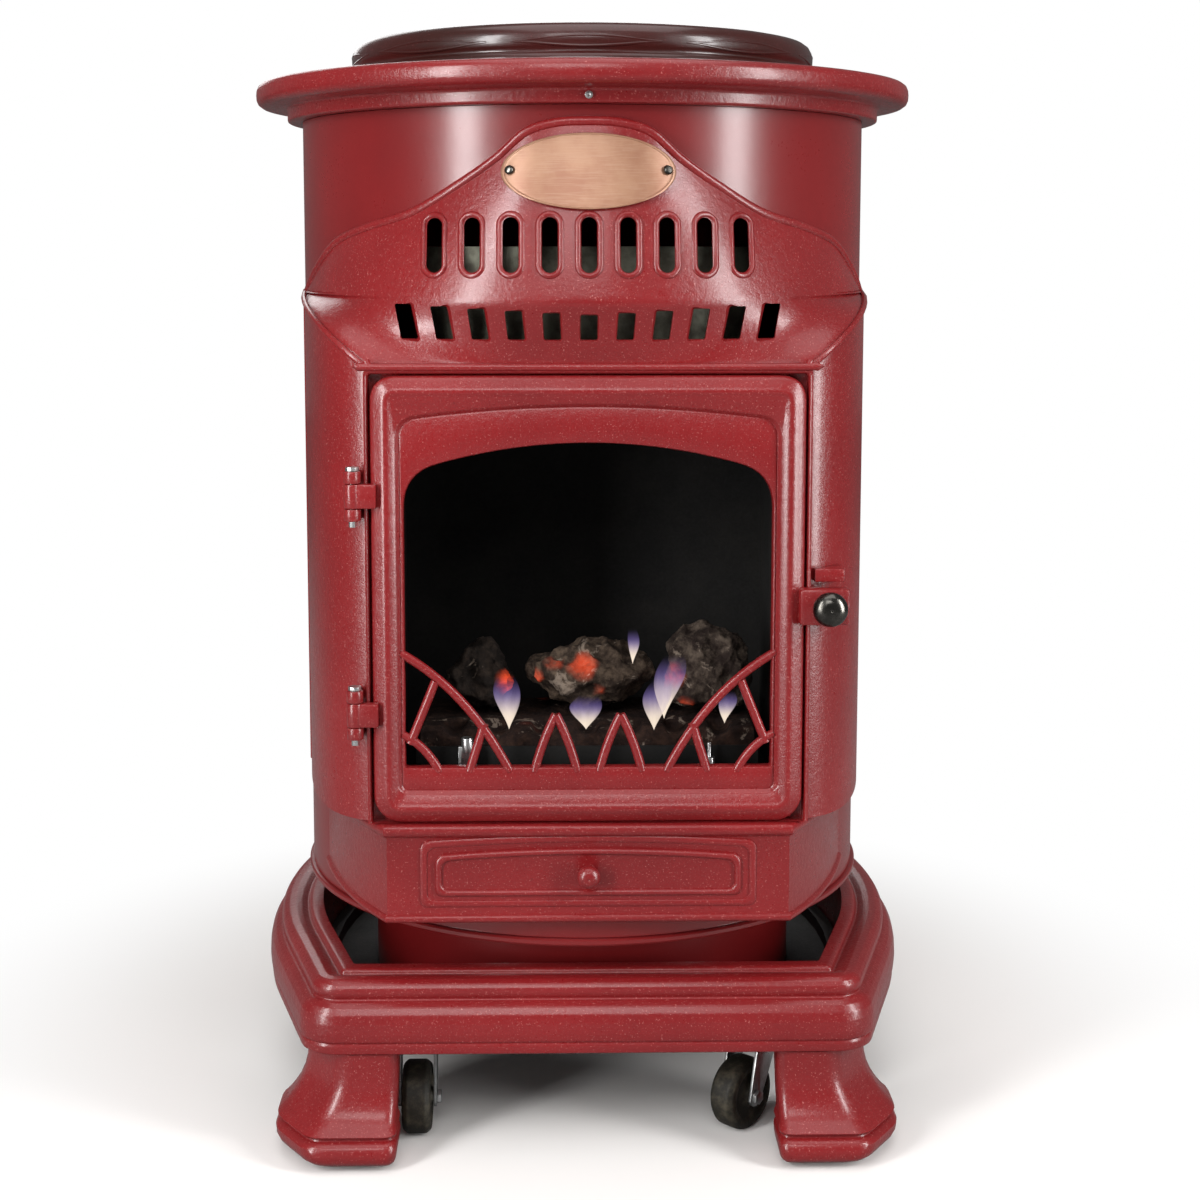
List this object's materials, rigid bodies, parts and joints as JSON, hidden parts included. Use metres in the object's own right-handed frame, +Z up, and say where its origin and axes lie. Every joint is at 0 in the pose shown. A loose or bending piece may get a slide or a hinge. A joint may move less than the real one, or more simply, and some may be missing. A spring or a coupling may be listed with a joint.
{
  "type": "portable gas cabinet heater",
  "caption": "Free-standing burgundy gas heater: round drum on a moulded footed base with swivel casters, windowed stove-like door, slotted front and a lid over the controls.",
  "frame": {"origin": "on the floor, below the drum's axis", "axes": "+Z up, front door towards -Y, latch towards +X"},
  "size_m": [0.483, 0.483, 0.7687],
  "materials": {
    "burgundy_paint": "semi-gloss, lightly textured",
    "maroon_paint": "semi-gloss",
    "black_steel": "matt heat-resistant black",
    "grey_steel": "dull",
    "zinc": "bright zinc plate",
    "copper": "copper colour, satin",
    "pewter": "dark pewter, polished",
    "black_rubber": "matt",
    "brass": "satin",
    "ceramic": "rough, charred",
    "black_plastic": "matt",
    "hose_rubber": "matt"
  },
  "bodies": {
    "root": {"badge_plate": "copper", "badge_rivet_left": "pewter", "badge_rivet_right": "pewter", "base_plinth": "burgundy_paint", "burner_tray": "black_steel", "burner_tube": "grey_steel", "caster_plate_front_left": "zinc", "caster_plate_front_right": "zinc", "caster_plate_rear_left": "zinc", "caster_plate_rear_right": "zinc", "ceramic_bed": "ceramic", "coal_centre": "ceramic", "coal_left": "ceramic", "coal_right": "ceramic", "collar_screw": "zinc", "control_panel": "black_steel", "deck_pan": "black_steel", "door_hinge_pin_lower": "zinc", "door_hinge_pin_upper": "zinc", "drum_base": "burgundy_paint", "drum_shell": "burgundy_paint", "firebox": "black_steel", "foot_front_left": "burgundy_paint", "foot_front_right": "burgundy_paint", "foot_rear_left": "burgundy_paint", "foot_rear_right": "burgundy_paint", "front_surround": "burgundy_paint", "gas_hose": "hose_rubber", "gas_pipe": "brass", "gas_valve": "brass", "heat_baffle": "grey_steel", "igniter_body": "black_plastic", "lid_hinge_bracket": "maroon_paint", "lid_hinge_pin": "zinc", "lower_front_panel": "burgundy_paint", "pilot_bracket": "zinc", "rear_hinge_pin": "zinc", "regulator": "grey_steel", "spark_electrode": "zinc", "top_plate": "burgundy_paint"},
    "front_door": {"front_door": "burgundy_paint"},
    "latch": {"latch_spindle": "zinc", "latch_knob": "pewter"},
    "top_lid": {"top_lid": "maroon_paint"},
    "valve_spindle": {"valve_spindle": "zinc"},
    "control_knob": {"control_knob": "black_plastic"},
    "igniter_button": {"igniter_button": "zinc"},
    "rear_door": {"rear_door": "burgundy_paint"},
    "swivel_front_left": {"caster_fork_front_left": "zinc", "caster_axle_front_left": "zinc"},
    "wheel_front_left": {"caster_wheel_front_left": "black_rubber"},
    "swivel_front_right": {"caster_fork_front_right": "zinc", "caster_axle_front_right": "zinc"},
    "wheel_front_right": {"caster_wheel_front_right": "black_rubber"},
    "swivel_rear_left": {"caster_fork_rear_left": "zinc", "caster_axle_rear_left": "zinc"},
    "wheel_rear_left": {"caster_wheel_rear_left": "black_rubber"},
    "swivel_rear_right": {"caster_fork_rear_right": "zinc", "caster_axle_rear_right": "zinc"},
    "wheel_rear_right": {"caster_wheel_rear_right": "black_rubber"}
  },
  "joints": [
    {"name": "front_door_hinge", "type": "hinge", "parent": "root", "child": "front_door", "pos_m": [-0.1535, -0.22, 0.3867], "axis": [0, 0, -1], "range_deg": [0, 115]},
    {"name": "latch_turn", "type": "hinge", "parent": "front_door", "child": "latch", "pos_m": [0.157, -0.226, 0.38575], "axis": [0, -1, 0], "range_deg": [0, 90]},
    {"name": "lid_hinge", "type": "hinge", "parent": "root", "child": "top_lid", "pos_m": [0, 0.181, 0.7453], "axis": [-1, 0, 0], "range_deg": [0, 75]},
    {"name": "knob_turn", "type": "hinge", "parent": "root", "child": "valve_spindle", "pos_m": [-0.045, -0.095, 0.735], "axis": [0, 0, 1], "range_deg": [0, 250]},
    {"name": "knob_push", "type": "slide", "parent": "valve_spindle", "child": "control_knob", "axis": [0, 0, -1], "range_m": [0, 0.004], "stiffness_N_per_m": 800, "springref_m": -0.002},
    {"name": "igniter_push", "type": "slide", "parent": "root", "child": "igniter_button", "axis": [0, 0, -1], "range_m": [0, 0.006], "stiffness_N_per_m": 600, "springref_m": -0.002},
    {"name": "rear_door_hinge", "type": "hinge", "parent": "root", "child": "rear_door", "pos_m": [0.15132, 0.15132, 0.4155], "axis": [0, 0, -1], "range_deg": [0, 110]},
    {"name": "caster_swivel_front_left", "type": "hinge", "parent": "root", "child": "swivel_front_left", "pos_m": [-0.119, -0.148, 0.06], "axis": [0, 0, 1], "continuous": true},
    {"name": "caster_spin_front_left", "type": "hinge", "parent": "swivel_front_left", "child": "wheel_front_left", "pos_m": [-0.119, -0.162, 0.025], "axis": [1, 0, 0], "continuous": true},
    {"name": "caster_swivel_front_right", "type": "hinge", "parent": "root", "child": "swivel_front_right", "pos_m": [0.119, -0.148, 0.06], "axis": [0, 0, 1], "continuous": true},
    {"name": "caster_spin_front_right", "type": "hinge", "parent": "swivel_front_right", "child": "wheel_front_right", "pos_m": [0.10945, -0.15824, 0.025], "axis": [0.7314, -0.682, 0], "continuous": true},
    {"name": "caster_swivel_rear_left", "type": "hinge", "parent": "root", "child": "swivel_rear_left", "pos_m": [-0.119, 0.148, 0.06], "axis": [0, 0, 1], "continuous": true},
    {"name": "caster_spin_rear_left", "type": "hinge", "parent": "swivel_rear_left", "child": "wheel_rear_left", "pos_m": [-0.12379, 0.16116, 0.025], "axis": [-0.9397, -0.342, 0], "continuous": true},
    {"name": "caster_swivel_rear_right", "type": "hinge", "parent": "root", "child": "swivel_rear_right", "pos_m": [0.119, 0.148, 0.06], "axis": [0, 0, 1], "continuous": true},
    {"name": "caster_spin_rear_right", "type": "hinge", "parent": "swivel_rear_right", "child": "wheel_rear_right", "pos_m": [0.12262, 0.16152, 0.025], "axis": [-0.9659, 0.2588, 0], "continuous": true}
  ]
}
